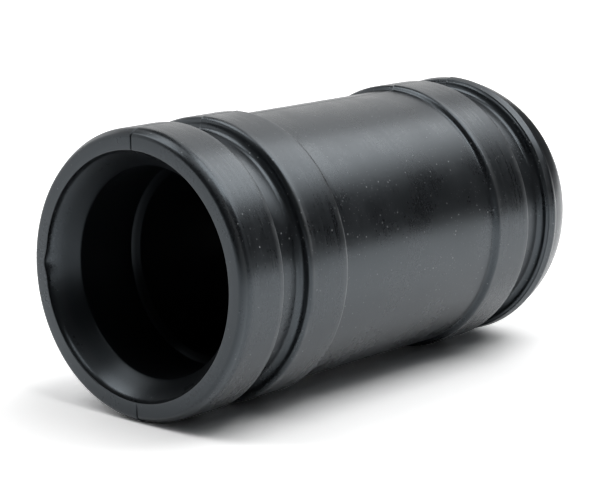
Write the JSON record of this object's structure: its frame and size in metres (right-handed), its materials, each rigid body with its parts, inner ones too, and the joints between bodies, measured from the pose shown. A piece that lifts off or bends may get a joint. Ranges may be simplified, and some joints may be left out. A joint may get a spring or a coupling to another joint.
{
  "type": "flexible rubber pipe coupling",
  "caption": "Moulded rubber sleeve that joins two pipe ends, with a socket at each end, raised rings and clamp grooves around its outside.",
  "frame": {"origin": "centre of the flat ring that the nose end stands on", "axes": "+Z along the bore axis, from the domed nose end up to the square lip; X and Y are across the bore"},
  "size_m": [0.0604, 0.0604, 0.1134],
  "materials": {
    "black_rubber": "dull black moulded rubber with a faint sheen"
  },
  "bodies": {
    "root": {"coupling_sleeve": "black_rubber"}
  },
  "joints": []
}
